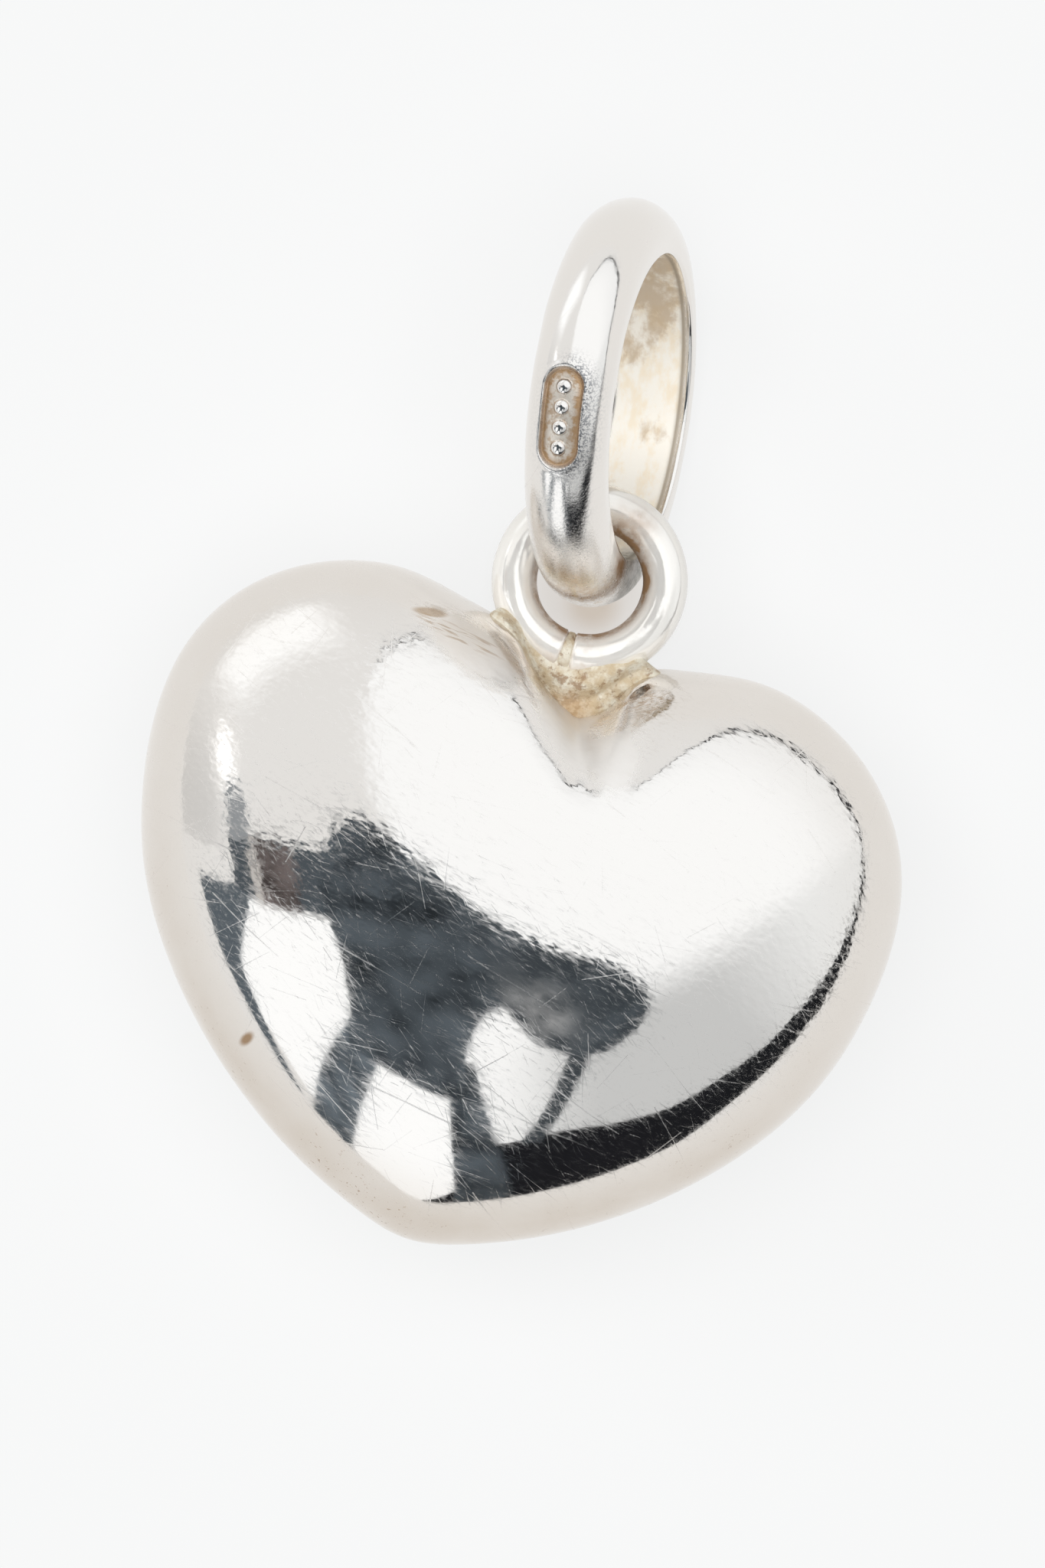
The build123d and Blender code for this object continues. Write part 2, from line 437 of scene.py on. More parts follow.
def heart_finish(here):
    """Mirror polish with orange peel, hairline scratches, flanks darkened by tarnish and painted shade, and
    dirt by the solder.

    Beside the solder are two filed patches with brown lines, three thin grooves, a brushed patch on
    the left lobe and a matt place in the cleft.
    """
    along, height = (here.along(axis) for axis in (1, 2))
    peel_strength = along.between(4.8, 8.8, 0.12, 1.0)
    peel = here.noise(0.15, 1.0, 0.4, turn=-14, drawn=(1.7, 1, 1)) * peel_strength
    streaks = here.noise(0.07, 3.0, 0.6, turn=-12, drawn=(6, 1, 1)).between(0.42, 0.66)
    scratches = sum(here.scratches(*layer) * strength for *layer, strength in heart_scratches).limited()
    flecks = here.noise(0.06, 3.0, 0.7, turn=-25, drawn=(5, 1, 1)).between(0.55, 0.70)
    flecks = flecks * along.between(1.0, 5.0, 0.3, 1.0)

    flank = abs(height).between(1.2, 2.8, 1.0, 0.0)
    towards_tip = along.between(1.3, 9.3, 1.0, 0.0)
    cloud = here.noise(1.6, 3.0, 0.6)
    near_solder = here.distance((0.1, 12.8, 0.0)).between(0.9, 2.1, 1.0, 0.0)
    dirt = (near_solder * here.noise(0.35, 4.0, 0.65).between(0.40, 0.60)).limited()
    specks = here.noise(0.10, 2.0, 0.6, place=(4, 4, 4)).between(0.64, 0.70)
    speckled = here.patch((-1.4, 0.9, 0.0), -32, (1.5, 0.6, 2.5), 0.5)
    specks = specks * flank * (towards_tip * cloud.between(0.45, 0.6) * 0.5 + speckled).limited()
    spot = here.patch((-4.44, 3.25, 2.1), 60, (0.17, 0.10, 1.0), 0.5)

    left_filed = here.patch((-2.39, 12.71, 2.0), -9, (1.0, 0.16, 3.0), 0.4)
    right_filed = here.patch((1.45, 12.08, 2.0), 44, (0.95, 0.26, 3.0), 0.2)
    left_lines = here.noise(0.05, 2.0, 0.5, turn=-9, drawn=(12, 1, 1))
    right_lines = here.noise(0.05, 2.0, 0.5, turn=44, drawn=(12, 1, 1))
    brown_lines = (
        left_filed * left_lines.between(0.50, 0.60) * 0.6
        + right_filed * right_lines.between(0.48, 0.60) * along.between(11.9, 12.4) * 0.6
        + here.patch((-3.18, 13.02, 2.0), 6, (0.36, 0.09, 3.0), 0.3) * 0.7
    )
    grooves = (
        here.patch((-1.00, 12.62, 2.0), -41, (1.0, 0.08, 3.0), 0.9)
        + here.patch((-1.25, 12.52, 2.0), -38, (0.8, 0.05, 3.0), 0.9) * 0.6
        + here.patch((1.30, 12.28, 2.0), 50, (0.6, 0.05, 3.0), 0.9) * 0.8
    )
    matt = here.distance((0.6, 11.2, 1.8)).between(0.9, 1.8, 1.0, 0.0) * (1 - right_filed)
    matt = (matt + here.patch((1.58, 10.88, 3.0), -20, (0.36, 0.55, 3.0), 0.5) * 0.9).limited()
    brushed = here.patch((-2.05, 12.52, 2.0), -20, (1.25, 0.50, 3.0), 0.5)

    # Painted shade with tarnish: the flanks, most towards the tip, are darker and warmer, standing in for
    # the shaded table that they reflect
    dull = (flank * (towards_tip * 0.7 + 0.3) * (cloud + 0.5)).limited()
    colour = dull.mixed(silver, flank_tarnish_and_shade_silver)
    colour = (dirt * 0.6).mixed(colour, solder_tan)
    colour = (specks * 0.6 + spot * 0.9).limited().mixed(colour, tarnish)
    colour = (matt * 0.7).mixed(colour, matt_silver)
    colour = (brushed * 0.5 + right_filed * 0.4).limited().mixed(colour, brushed_silver)
    colour = (brown_lines + grooves * 0.5).limited().mixed(colour, filed_brown)
    rough = 0.05 + streaks * (peel_strength * 0.07 + 0.06) + scratches * 0.22 + flecks * 0.14
    rough = rough + dirt * 0.2 + matt * 0.3 + brushed * 0.30 + right_filed * 0.10
    filed_relief = left_lines * left_filed + right_lines * right_filed
    relief = peel * 0.0045 - scratches * 0.0002 + filed_relief * 0.005 - grooves * 0.014
    return {
        "Base Color": colour,
        "Metallic": 1.0 - dirt * 0.3 - specks * 0.5 - matt * 0.4 - brushed * 0.3 - right_filed * 0.3,
        "Roughness": rough,
        "Normal": bumped(here, relief, 1.0),
    }


def loop_finish(here):
    """Worn silver wire, pale outside, darkened brown by dirt and painted shade in its hole, in the crevice
    by the bail and behind the bail.
    """
    from_hole = here.distance(loop_centre, flat=True) - loop_hole_radius
    hole = from_hole.between(-0.1, 0.42, 1.0, 0.0)
    hole_edge = from_hole.between(0.03, 0.18, 1.0, 0.0)
    upper_right = here.distance((0.5, 15.7, 0.0), flat=True).between(0.4, 1.9, 1.0, 0.15)
    behind_bail_dirt_and_shade = here.distance((0.45, 16.0, 0.0), flat=True).between(0.15, 0.80, 1.0, 0.0)
    crevice_dirt_and_shade = here.distance((0.95, 14.88, 0.0), flat=True).between(0.10, 0.30, 1.0, 0.0)
    low = here.distance((-0.1, 12.8, 0.0)).between(0.3, 1.3, 1.0, 0.0)
    grime = here.noise(0.3, 4.0, 0.6).between(0.35, 0.65)
    # Painted shade mixed with dirt: the inner side of the hole, its edge, the crevice by the bail and the
    # wire behind the bail are darkened brown
    dirt = hole * (grime * 0.6 + 0.4) * upper_right + low * grime * 0.4
    dirt = dirt + hole_edge * (grime * 0.4 + 0.4) + behind_bail_dirt_and_shade * (grime * 0.3 + 0.2)
    dirt = (dirt + crevice_dirt_and_shade).limited()
    worn = here.noise(0.5, 3.0, 0.6, place=(6, 2, 4)).between(0.35, 0.65)
    return {
        "Base Color": dirt.mixed(worn_silver, dirt_brown),
        "Metallic": 0.42 - dirt * 0.25,
        "Roughness": 0.09 + worn * 0.08 + dirt * 0.3,
        "Normal": bumped(here, here.noise(0.25, 2.0), 0.004),
    }


def solder_finish(here):
    """Rough beige solder with orange and brown in its hollows."""
    grain = here.noise(0.10, 5.0, 0.65)
    blotch = here.noise(0.45, 4.0, 0.6, place=(3, 1, 2)).between(0.36, 0.60)
    deep = here.distance((0.1, 11.9, 0.4)).between(0.3, 1.3, 1.0, 0.0)
    colour = blotch.mixed(pale_solder, solder_tan)
    brown = here.noise(0.22, 4.0, 0.7, place=(7, 2, 1)) + deep * 0.10
    colour = (brown.between(0.54, 0.70) * 0.8).mixed(colour, dirt_brown)
    orange = here.distance((0.2, 11.7, 0.8)).between(0.2, 0.9, 1.0, 0.0)
    colour = (orange * 0.6).mixed(colour, orange_solder)
    return {
        "Base Color": colour,
        "Metallic": 0.45,
        "Roughness": 0.28 + grain * 0.25,
        "Normal": bumped(here, grain, 0.03),
    }


def bail_finish(here):
    """Polished silver outside, cream with brown clouds inside, grainy beside the punch, and painted shade
    with dirt on its low side by the loop.
    """
    inside, struck, sunk, wall, far_edge, outer = (
        here.mask(name) for name in ("inside", "struck", "sunk", "wall", "far_edge", "outer")
    )
    coarse_scratches = here.scratches(1.1, 0.02, (4.3, 2.1, 0), 60, 80)
    fine_scratches = here.scratches(0.6, 0.012, (1, 8, 0), 0, 360)
    scratches = (coarse_scratches + fine_scratches).limited()
    grain = here.noise(0.05, 3.0, 0.7)
    streaks = here.noise(0.10, 3.0, 0.6, turn=75, drawn=(6, 1, 1)).between(0.40, 0.66)
    handled = here.along(1).between(15.0, 17.4, 1.0, 0.0) * outer
    worn = here.noise(0.18, 4.0, 0.7, place=(3, 3, 7)).between(0.42, 0.62)
    bend = here.distance((-0.2, 14.2, 1.0)).between(0.4, 1.3, 1.0, 0.0) * outer
    # Painted shade mixed with dirt: the bail's low side face by the loop is painted dull olive, rougher and
    # less metallic
    shaded = here.distance((0.75, 15.1, -0.1)).between(0.5, 1.2, 1.0, 0.0)

    high = here.along(1).between(18.6, 21.4)
    clouds = here.noise(0.9, 5.0, 0.6, turn=bail_turn, drawn=(0.8, 1.6, 1))
    fine = here.noise(0.16, 4.0, 0.65, place=(2, 5, 1))
    blotch = (clouds + high * 0.22 + fine * 0.22).between(0.66, 0.88)
    stained = here.noise(0.5, 4.0, 0.65, place=(5, 1, 8), turn=bail_turn, drawn=(0.7, 1.5, 1))
    lining = stained.between(0.42, 0.66).mixed(inside_cream, inside_stain)
    floor_dirt = here.noise(0.12, 4.0, 0.65, place=(1, 6, 3)).between(0.45, 0.62)
    recess = (wall + floor_dirt * 0.6).limited().mixed(recess_floor, recess_brown)

    colour = inside.mixed(silver, lining)
    colour = (inside * blotch * 0.7).mixed(colour, cloud_brown)
    colour = far_edge.mixed(colour, far_edge_brown)
    colour = (bend * (worn * 0.65 + 0.05)).mixed(colour, bend_brown)
    colour = (shaded * (worn * 0.3 + 0.6)).mixed(colour, olive_shade_and_dirt)
    colour = sunk.mixed(colour, recess)
    colour = (struck * grain.between(0.47, 0.57) * 0.85).mixed(colour, struck_grey)
    rough = 0.08 + streaks * 0.06 + inside * 0.3 + sunk * 0.2 + scratches * 0.15 + struck * 0.12
    rough = rough + handled * grain.between(0.40, 0.60) * 0.16 + shaded * 0.2
    grainy = inside * 0.3 + sunk + struck * 1.2 + handled * 0.6
    relief = here.noise(0.2, 2.0) * 0.002 + grainy * grain * 0.008
    return {
        "Base Color": colour,
        "Metallic": 1.0 - (inside * 0.8 + sunk * 0.3 + shaded * 0.9).limited(),
        "Roughness": rough,
        "Normal": bumped(here, relief, 1.0),
    }


# The heart's shell
heart_spokes = 460
heart_rings_above = 130
heart_rings_below = 60

# How the cleft is softened, in degrees: the width of the averaging and how far from it that fades.
# The rim stays sharper than the dome's level lines
rim_softening = (2.0, 14)
dome_softening = (4.6, 29)

# Where the right lobe's shoulder is set in. Columns: share of the reach, direction and spread in degrees
shoulder_rows = [(0.112, 73, 15), (0.045, 89, 7)]

# The cleft's crease goes to the right by crease_shift at crease_top and more below it, fading out
# over crease_width to either side and between the two heights of crease_start
crease_width = 2.0
crease_start = (8.0, 10.2)
crease_top = 11.9
crease_shift = 0.39
crease_slope = 0.23
largest_shift = 0.8

# Hand-finished unevenness, as waves takes it: height, longest and shortest wave, number and seed
heart_unevenness = (0.004, 6.0, 1.2, 28, 5)
loop_unevenness = (0.006, 2.0, 0.6, 16, 3)
solder_unevenness = (0.035, 1.2, 0.25, 26, 9)
bail_unevenness = (0.006, 3.0, 0.8, 20, 11)

# The seam along the rim
seam_depth = 0.010
seam_width = 0.06

# File marks beside the solder. Columns: place, length, width, depth, direction in degrees
file_marks = [
    ((-3.18, 13.02), 0.80, 0.24, 0.020, 6.0),
    ((1.45, 12.08), 1.90, 0.50, 0.040, 44.0),
]


def heart_reach(turns, rounding, fading):
    """How far the outline lies from the crown, for directions in radians from +X.

    The mirrored outline gives the distance at each direction. Averaging it over a bell of
    directions, rounding degrees wide, softens the cleft and fades out over fading degrees.
    """
    rows = [
        (across * half_width, up * heart_length - down * cleft_depth)
        for across, up, down in outline_rows
    ]
    right = smooth_curve(rows, cleft_direction, tip_direction, 2000)
    whole = np.vstack([right, (right * (-1, 1))[::-1]]) - (0, crown_height)
    directions = np.arctan2(whole[:, 1], whole[:, 0])
    order = np.argsort(directions)
    count = 3600
    even = np.linspace(-math.pi, math.pi, count, endpoint=False)
    lengths = np.hypot(*whole[order].T)
    reach = np.interp(even, directions[order], lengths, period=math.tau)
    window = bell(np.arange(-150, 151) * math.tau / count, math.radians(rounding))
    softened = averaged(reach[:, None], window)[:, 0]
    near = bell(even - math.pi / 2, math.radians(fading))
    reach = reach + (softened - reach) * near
    return np.interp(turns, even, reach, period=math.tau)


def heart_relief(points):
    """How far the surface stands proud of the plain dome: hand finishing, seam and file marks."""
    height = waves(points, *heart_unevenness)
    height -= seam_depth * bell(points[..., 2], seam_width)
    for (across, along), length, width, depth, direction in file_marks:
        turn = math.radians(direction)
        x, y = points[..., 0] - across, points[..., 1] - along
        forth = x * math.cos(turn) + y * math.sin(turn)
        side = y * math.cos(turn) - x * math.sin(turn)
        upper = step_up(points[..., 2], 0, 0.5)
        height -= depth * upper * np.exp(-((2 * forth / length) ** 4)) * bell(side, width / 2)
    return height


def heart_shell():
    """Two domes that meet at the rim, each point on a line from the crown towards the outline.

    Its distance along the line is the sine of its angle from the crown times the line's length, and
    its height is the cosine times half the thickness. The line's length goes from an ellipse's at
    the crown to the outline's at the rim. The right lobe's shoulder is set in, the cleft's crease
    bent to the right, the right lobe lowered by the skew, and the relief added along the normals.
    """
    turns = (uneven(heart_spokes, 2.2, 0.5, 0.09) - 0.25) * math.tau
    above = np.linspace(0, math.pi / 2, heart_rings_above + 1)[1:]
    below = np.linspace(math.pi / 2, math.pi, heart_rings_below + 1)[1:-1]
    tilts = np.concatenate([above, below])[:, None]
    share = np.sin(tilts)
    rim = heart_reach(turns, *rim_softening)
    inner = heart_reach(turns, *dome_softening)
    reach = inner + (rim - inner) * share**5
    ellipse = 1 / np.hypot(np.cos(turns) / crown_across, np.sin(turns) / crown_along)
    length = share * (ellipse + (reach - ellipse) * share**crown_power)
    set_in = sum(
        depth * bell(np.degrees(turns) - middle, spread) for depth, middle, spread in shoulder_rows
    )
    length *= 1 - set_in * 4 * (share**2 - share**4)
    x = length * np.cos(turns)
    y = length * np.sin(turns) + crown_height
    z = np.broadcast_to(half_thickness * np.cos(tilts), x.shape)
    crease = bell(x, crease_width) * step_up(y, *crease_start)
    x = x + crease * np.clip(crease_shift + crease_slope * (crease_top - y), 0, largest_shift)
    y = y - x * math.tan(math.radians(skew_angle))
    grid = np.stack([x, y, z], -1)
    grid = grid + heart_relief(grid)[..., None] * grid_normals(grid)
    crowns = [(0, crown_height, side * half_thickness) for side in (1, -1)]
    return capped(grid, crowns)


# The loop and its solder
wire_sides = 64
loop_rings = 300
joint_rings = 24


def wire_grid(turns, wire):
    """Rings of points round the loop's circle, at the given turns and with the given wire radii."""
    around = np.linspace(0, math.tau, wire_sides, endpoint=False)
    out = loop_mean_radius + wire[:, None] * np.cos(around)
    rings = [
        out * np.cos(turns)[:, None],
        out * np.sin(turns)[:, None],
        wire[:, None] * np.sin(around),
    ]
    return np.stack(rings, -1) + loop_centre


def loop_ring():
    """A round wire carried round a circle, open at the joint, with rounded ends."""
    half_gap = math.degrees(joint_gap / 2 / loop_mean_radius)
    ends = (joint_direction + half_gap, joint_direction + 360 - half_gap)
    turns = np.radians(np.linspace(*ends, loop_rings))
    wire = np.full(loop_rings, loop_wire / 2)
    wire[[0, -1]] *= 0.80
    wire[[1, -2]] *= 0.94
    grid = wire_grid(turns, wire)
    grid = grid + waves(grid, *loop_unevenness)[..., None] * grid_normals(grid)
    return capped(grid)


# The solder's edge, inside the lobes and the loop's wire
solder_rows = [
    (-1.72, 13.60), (-2.00, 13.30), (-1.60, 12.72), (-1.00, 12.10), (-0.42, 11.60), (0.15, 11.38),
    (0.68, 11.60), (1.20, 12.05), (1.75, 12.50), (2.20, 12.80), (2.10, 13.02), (1.65, 13.25),
    (1.10, 13.50), (0.45, 13.12), (-0.10, 13.02), (-0.65, 13.12), (-1.20, 13.48), (-1.48, 13.68),
]
solder_centre = (0.05, 12.50)
solder_half_height = 0.44
fillet_height = 0.36
fillet_width = 0.30


def solder_web():
    """Solder in the cleft: level lines of its edge shrunk towards its centre.

    Its height is a flattened half circle of the share, plus unevenness and a fillet that rises as
    a bell of the distance from the heart's outline.
    """
    rows = np.array(solder_rows + solder_rows[:1])
    start = (rows[1] - rows[-2]) / np.linalg.norm(rows[1] - rows[-2])
    edge = smooth_curve(rows, start, start, 181)[:-1] - solder_centre
    angles = np.linspace(0, math.pi, 90)[1:-1, None]
    share = np.sin(angles) ** 0.6
    x = share * edge[:, 0] + solder_centre[0]
    y = share * edge[:, 1] + solder_centre[1]
    level = y + x * math.tan(math.radians(skew_angle)) - crown_height
    beyond = np.hypot(x, level) - heart_reach(np.arctan2(level, x), *rim_softening)
    side = np.sign(np.cos(angles))
    height = solder_half_height * np.abs(np.cos(angles)) ** 0.6
    height = height + fillet_height * bell(np.maximum(beyond, 0), fillet_width)
    grid = np.stack([x, y, height * side * np.sin(angles) ** 0.05], -1)
    height += waves(grid, *solder_unevenness)
    grid[..., 2] = height * side
    return capped(grid)


def solder_joint():
    """The solder that fills the loop's joint: a short thick sector of wire with bulging sides."""
    half = math.degrees(joint_gap / loop_mean_radius) * 0.75
    turns = np.radians(np.linspace(joint_direction - half, joint_direction + half, joint_rings))
    bulge = np.sqrt(np.clip(1 - np.linspace(-1, 1, joint_rings) ** 4, 0.05, 1))
    return capped(wire_grid(turns, loop_wire / 2 * (0.62 + 0.36 * bulge)))


# The bail's ring
bail_rings = 380
bail_section_points = 170
lip_height = 0.015


def bail_section(count):
    """The D section as radius and place along the axis, its corners rounded by averaging."""
    inner = bail_radius - bail_thickness
    shoulder = inner + bail_side
    half = bail_width / 2 + bail_spread
    rise = bail_radius - shoulder
    arc_radius = (half**2 + rise**2) / (2 * rise)
    arc_centre = bail_radius - arc_radius
    reach = math.asin(half / arc_radius)
    turns = np.linspace(-reach, reach, 400)
    arc = np.stack([arc_centre + arc_radius * np.cos(turns), arc_radius * np.sin(turns)], -1)
    flat = np.array([(shoulder, half), (inner, half), (inner, -half), (shoulder, -half)])
    fine = resampled(np.vstack([arc, flat]), np.linspace(0, 1, 2001))[:-1]
    smooth = averaged(fine, bell(np.arange(-60, 61), 28.0))
    closed = np.vstack([smooth, smooth[:1]])
    crest = (reach * arc_radius) / (2 * reach * arc_radius + 2 * bail_side + bail_width)
    return resampled(closed, uneven(count, 2.5, crest, 0.11))


def turned(points, axis, degrees):
    """Points turned about an axis through the origin."""
    return points @ np.array(Matrix.Rotation(math.radians(degrees), 3, axis)).T


def bail_placed(grid):
    """The ring stood on edge, leant, turned and moved until its lower limb goes through the loop."""
    grid = turned(grid, "Z", -punch_turn)
    grid = turned(grid, "Y", -90 - bail_lean)
    grid = turned(grid, "Z", bail_turn)
    middle_radius = bail_radius - bail_thickness / 2
    turn = math.radians(bail_turn)
    shift = (grid[..., 2].min() + home[2]) * math.tan(math.radians(bail_lean))
    return grid + (
        loop_centre[0] - middle_radius * math.sin(turn) + shift * math.cos(turn),
        loop_centre[1] + middle_radius * math.cos(turn) + shift * math.sin(turn),
        0.0,
    )


def bail_ring():
    """The D section carried round a circle, with the struck place pressed in at its crest.

    The recess is a slot whose wall goes from nothing to its depth as the distance from the slot's
    middle line falls. Four round pellets stand on its floor, and a low lip goes round it.
    """
    turns = ((uneven(bail_rings, 4.5, 0.5, 0.055) - 0.5) * math.tau)[:, None]
    section = bail_section(bail_section_points)
    radius = section[:, 0] + np.zeros_like(turns)
    side = section[:, 1] + np.zeros_like(turns)
    around = turns * bail_radius + np.zeros_like(side)
    outside = step_up(radius, bail_radius - 0.75 * bail_thickness, bail_radius - 0.5 * bail_thickness)
    straight = (punch_length - punch_width) / 2
    away = np.hypot(np.maximum(np.abs(around) - straight, 0), side)
    sunk = step_up(punch_width / 2 + 0.03 - away, 0, 0.09) * outside
    lip = bell(away - punch_width / 2 - 0.06, 0.05) * outside
    pitch = 2 * straight / (pellet_count - 1)
    pellets = np.zeros_like(side)
    for number in range(pellet_count):
        middle = (number - (pellet_count - 1) / 2) * pitch
        off = np.hypot(around - middle, side)
        pellets = np.maximum(pellets, np.sqrt(np.clip(1 - (off / pellet_radius) ** 2, 0, 1)))
    radius = radius - sunk * punch_depth + outside * pellets * pellet_height + lip * lip_height
    grid = np.stack([radius * np.cos(turns), radius * np.sin(turns), side], -1)
    grid = bail_placed(grid)
    normal = grid_normals(grid, round_rows=True)
    grid = grid + waves(grid, *bail_unevenness)[..., None] * normal * (1 - sunk)[..., None]
    grid[..., 2] -= grid[..., 2].min() + home[2]
    inside = step_up(bail_radius - bail_thickness + 0.30 - section[:, 0], 0, 0.25) + np.zeros_like(turns)
    right_side = step_up(-side, -0.25, 0.35)
    edge_rim = step_up(np.abs(side), bail_width / 2 - 0.16, bail_width / 2 - 0.06)
    struck = bell(away - punch_width / 2, 0.26) * outside * (1 - sunk) * (0.10 + 0.90 * right_side)
    masks = {
        "inside": inside * (1 - edge_rim),
        "struck": struck,
        "sunk": sunk * (1 - np.minimum(pellets * 1.5, 1)),
        "wall": bell(away - punch_width / 2 + 0.04, 0.10),
        "far_edge": bell(side + bail_width / 2 - 0.17, 0.05) * inside,
        "outer": outside,
    }
    return grid.reshape(-1, 3), [grid_faces(bail_rings, bail_section_points, True)], masks


heart_silver = new_material("polished_silver", heart_finish)
loop_silver = new_material("loop_wire_silver", loop_finish)
solder_metal = new_material("brown_solder", solder_finish)
bail_silver = new_material("bail_silver", bail_finish)

add_piece("heart_shell", *heart_shell(), heart_silver, "heart_silver", "heart")
add_piece("loop_ring", *loop_ring(), loop_silver, "heart_silver", "heart")
add_piece("loop_solder", *solder_web(), solder_metal, "heart_silver", "heart")
add_piece("joint_solder", *solder_joint(), solder_metal, "heart_silver", "heart")
bail_points, bail_faces, bail_masks = bail_ring()
bail_piece = add_piece("bail_ring", bail_points, bail_faces, bail_silver, "bail_silver", "bail")
for mask_name, mask in bail_masks.items():
    layer = bail_piece.data.attributes.new(mask_name, "FLOAT", "POINT")
    layer.data.foreach_set("value", mask.astype(np.float32).ravel())


# The studio


def sky_place(right, up, distance):
    """Where a direction, in degrees to the right and up from overhead, meets a far dome."""
    tilt = np.radians(np.hypot(right, up))
    turn = np.arctan2(up, right) + math.radians(camera_turn)
    flat = np.sin(tilt)
    return np.stack([flat * np.cos(turn), flat * np.sin(turn), np.cos(tilt)], -1) * distance


def card_material():
    """Cards give off the light that their own glow attribute states."""
    material = blank_material("studio_card")
    glow = Field(material.node_tree).node("ShaderNodeAttribute", {"attribute_name": "glow"})
    light = glow.node("ShaderNodeEmission", None, {"Color": glow, "Strength": 1.0})
    light.node("ShaderNodeOutputMaterial", None, {"Surface": light})
    material.cycles.emission_sampling = "NONE"
    return material


card_rings = 24
card_sides = 160
cards = []
cards_glow = card_material()


def add_card(name, edge, glow):
    """A card on the far dome that only reflections see: its edge shrunk in rings to its centre.

    glow is a colour, or a function of the degrees to the right and up that gives one.
    """
    edge = np.array(edge, float)
    edge = resampled(np.vstack([edge, edge[:1]]), np.linspace(0, 1, card_sides + 1))[:-1]
    centre = edge.mean(0)
    shares = np.linspace(1, 0.04, card_rings)[:, None, None]
    grid = centre + shares * (edge - centre)
    distance = 3.0 - 0.02 * len(cards)
    points = sky_place(grid[..., 0], grid[..., 1], distance)
    mesh = bpy.data.meshes.new(name)
    middle = np.arange(card_sides) + (card_rings - 1) * card_sides
    faces = grid_faces(card_rings, card_sides).tolist() + [middle.tolist()]
    mesh.from_pydata(points.reshape(-1, 3).tolist(), [], faces)
    mesh.materials.append(cards_glow)
    opaque = np.ones((card_rings, card_sides, 1))
    colours = glow(grid[..., 0], grid[..., 1]) if callable(glow) else opaque * glow
    colours = np.append(colours, opaque, -1).astype(np.float32)
    layer = mesh.attributes.new("glow", "FLOAT_COLOR", "POINT")
    layer.data.foreach_set("color", colours.ravel())
    card = new_object(name, mesh)
    for kind in ("camera", "diffuse", "transmission", "shadow", "volume_scatter"):
        setattr(card, "visible_" + kind, False)
    cards.append(card)


def bar(start, end, width_start, width_end):
    """The four corners of a straight tapering bar."""
    start, end = np.array(start, float), np.array(end, float)
    side = (end - start)[::-1] * (-1, 1) / np.linalg.norm(end - start)
    return [
        start + side * width_start / 2,
        start - side * width_start / 2,
        end - side * width_end / 2,
        end + side * width_end / 2,
    ]


def rounded(corners, reach):
    """A closed edge with its corners rounded by averaging along it over reach."""
    corners = np.array(list(corners) + list(corners[:1]), float)
    fine = resampled(corners, np.linspace(0, 1, 601))[:-1]
    total = np.linalg.norm(np.diff(corners, axis=0), axis=1).sum()
    return averaged(fine, bell(np.arange(-99, 100), reach / total * 600))


def softbox_glow(right, up):
    """The large softbox: white, soft at its left edge, grey below a slanting line."""
    below = (right - 35.5) * 0.545 - (up + 6.0) * 0.839
    fall = step_up(below, -5.0, 7.0) * step_up(right, -8.0, 18.0)
    lower = np.clip(0.79 + 0.0105 * (right - 45) + 0.0084 * (up + 8), 0.70, 1.02)
    white = 1.0 - 0.07 * step_up(np.hypot(right, up), 55, 80)
    glow = white[..., None] * softbox_white
    glow = glow + (lower[..., None] * grey_tint - glow) * fall[..., None]
    left = step_up(right + 16.5 - 0.2 * np.maximum(up - 30, 0), -2.5, 2.5)[..., None]
    return sky_colour + (glow - sky_colour) * left


def left_softbox_glow(right, up):
    """The far left softbox: a bright band along its outer edge that fades into the sky."""
    tilt = np.hypot(right, up)
    turn = np.degrees(np.arctan2(up, right))
    band = step_up(tilt, 57, 69) * (1 - step_up(tilt, 79, 87))
    sweep = step_up(turn, 98, 112) * (1 - step_up(turn, 137, 150))
    dull = step_up(turn, 146, 172) * step_up(tilt, 60, 72)
    glow = sky_colour + (band * sweep)[..., None] * (softbox_white * 1.08 - sky_colour)
    return glow * (1 - 0.2 * dull)[..., None]


def lamp_glow(right, up):
    """A small lamp, brightest at its middle."""
    away = np.hypot(right - lamp_place[0], (up - lamp_place[1]) * 0.7)
    return sky_colour + bell(away, 3.2)[..., None] * softbox_white * 1.3


def card_waves(right, up, *unevenness):
    """Waves over a card, with its degrees to the right and up as the places."""
    return waves(np.stack([right, up, 0 * right], -1), *unevenness)


def mottled(tone, strength, seed):
    """The glow of an uneven dark card, as a function of the degrees to the right and up."""

    def glow(right, up):
        shade = 1 + card_waves(right, up, strength, 16.0, 2.5, 24, seed)
        return tone * np.clip(shade, 0.3, 3)[..., None]

    return glow


def panel_glow(right, up):
    """A dark panel with paler uneven stripes at its lower left."""
    pale = bell(right - 4.0, 6.0) * bell(up + 22.0, 8.0)
    stripes = step_up(card_waves(right, up, 1.0, 12.0, 3.0, 20, 4), -0.6, 1.4)
    return dark * (1 + 0.5 * stripes[..., None]) + (pale * stripes)[..., None] * 0.42


sky_colour = np.array((0.925, 0.938, 0.948))
softbox_white = np.array((1.145, 1.185, 1.225))
grey_tint = np.array((0.963, 1.0, 1.03))
sheet_white = softbox_white * 1.04
dark = np.array((0.052, 0.064, 0.076))
warm_dark = np.array((0.15, 0.13, 0.13))
black = np.array((0.013, 0.014, 0.017))
lamp_place = (-59.5, 26.0)

